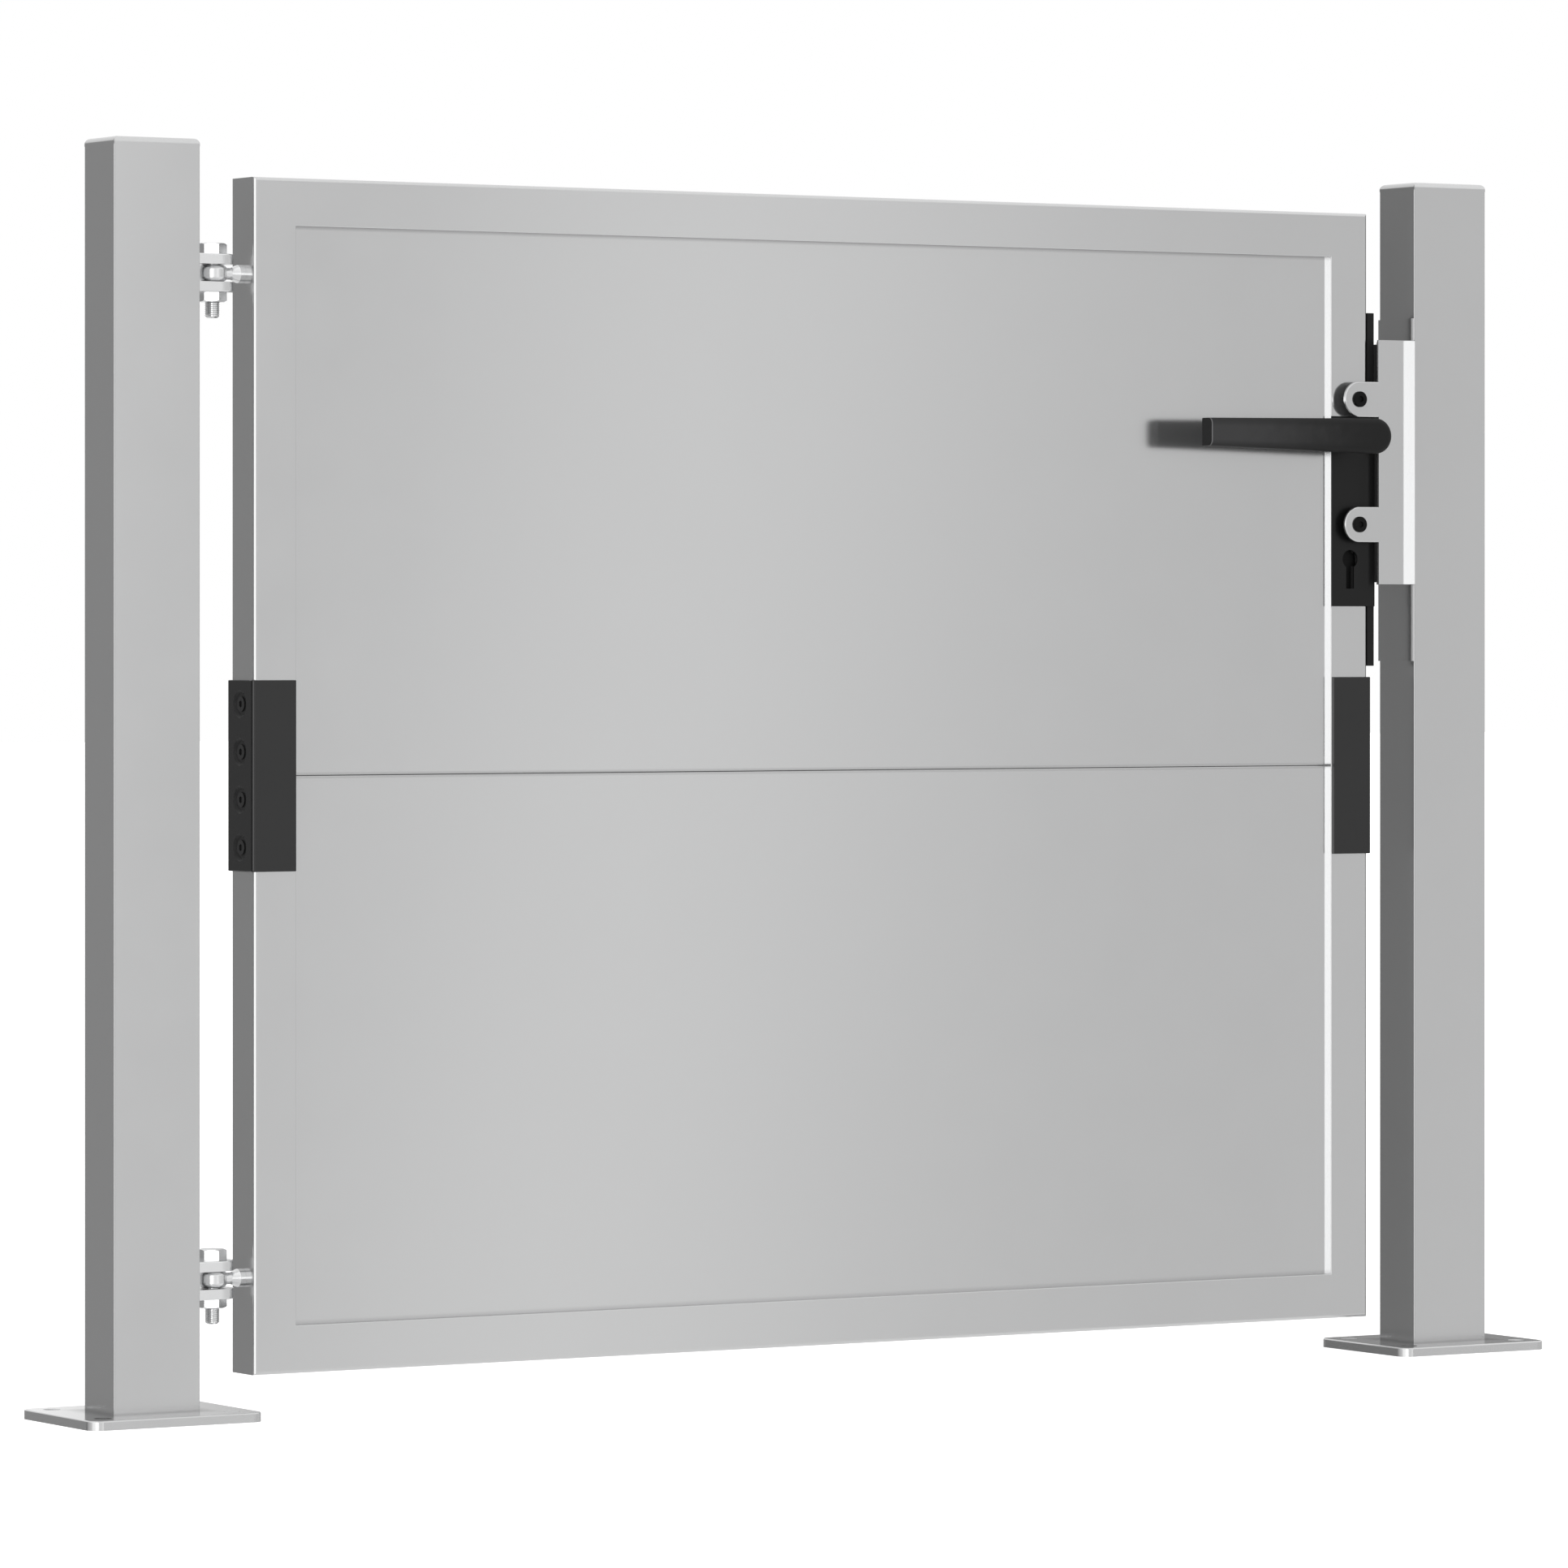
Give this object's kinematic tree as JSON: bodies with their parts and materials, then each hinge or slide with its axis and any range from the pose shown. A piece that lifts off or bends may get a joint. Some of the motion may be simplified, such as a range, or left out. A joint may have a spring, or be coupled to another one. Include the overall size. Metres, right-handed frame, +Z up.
{
  "type": "steel garden gate",
  "caption": "Low framed garden gate leaf with flush infill panels, hung on pin hinges between two base-plated posts, with lever handle, lock and stop keeper.",
  "frame": {"origin": "middle of the hinge post's base plate, on its underside", "axes": "+X along the gate from the hinge post to the latch post, +Y to the back, the side the leaf opens to, +Z up"},
  "size_m": [1.11, 0.105, 0.797],
  "materials": {
    "grey_coat": "satin silver-grey powder coat over galvanised steel",
    "zinc": "bright zinc-plated steel",
    "black_coat": "fine satin black powder coat",
    "black_plastic": "black moulded plastic"
  },
  "bodies": {
    "posts": {"left_base_plate": "grey_coat", "left_post": "grey_coat", "left_post_cap": "grey_coat", "right_base_plate": "grey_coat", "right_post": "grey_coat", "right_post_cap": "grey_coat", "upper_hinge_fork": "zinc", "upper_hinge_bolt": "zinc", "upper_hinge_nut": "zinc", "lower_hinge_fork": "zinc", "lower_hinge_bolt": "zinc", "lower_hinge_nut": "zinc", "keeper_backing_plate": "grey_coat", "keeper_bracket": "grey_coat", "keeper_edging": "black_plastic", "upper_stop_bolt": "black_plastic", "lower_stop_bolt": "black_plastic"},
    "leaf": {"hinge_stile": "grey_coat", "latch_stile": "grey_coat", "top_rail": "grey_coat", "bottom_rail": "grey_coat", "upper_panel": "grey_coat", "lower_panel": "grey_coat", "upper_eye_bolt": "zinc", "lower_eye_bolt": "zinc", "hinge_stile_cover": "black_coat", "hinge_stile_cover_screws": "black_coat", "latch_stile_cover": "black_coat", "latch_stile_cover_screws": "black_coat", "lock_forend": "black_coat", "latch_bolt": "zinc", "lock_cover_front": "black_coat", "lock_cover_back": "black_coat", "key_cylinder": "black_coat"},
    "handle": {"front_handle": "black_coat", "back_handle": "black_coat", "handle_spindle": "zinc"}
  },
  "joints": [
    {"name": "gate_swing", "type": "hinge", "parent": "posts", "child": "leaf", "pos_m": [0.0515, 0.005, 0.4], "axis": [0, 0, 1], "range_deg": [0, 90]},
    {"name": "handle_turn", "type": "hinge", "parent": "leaf", "child": "handle", "pos_m": [0.913, 0.005, 0.623], "axis": [0, -1, 0], "range_deg": [0, 45], "stiffness_Nm_per_rad": 1.2, "springref_deg": -34.38}
  ]
}
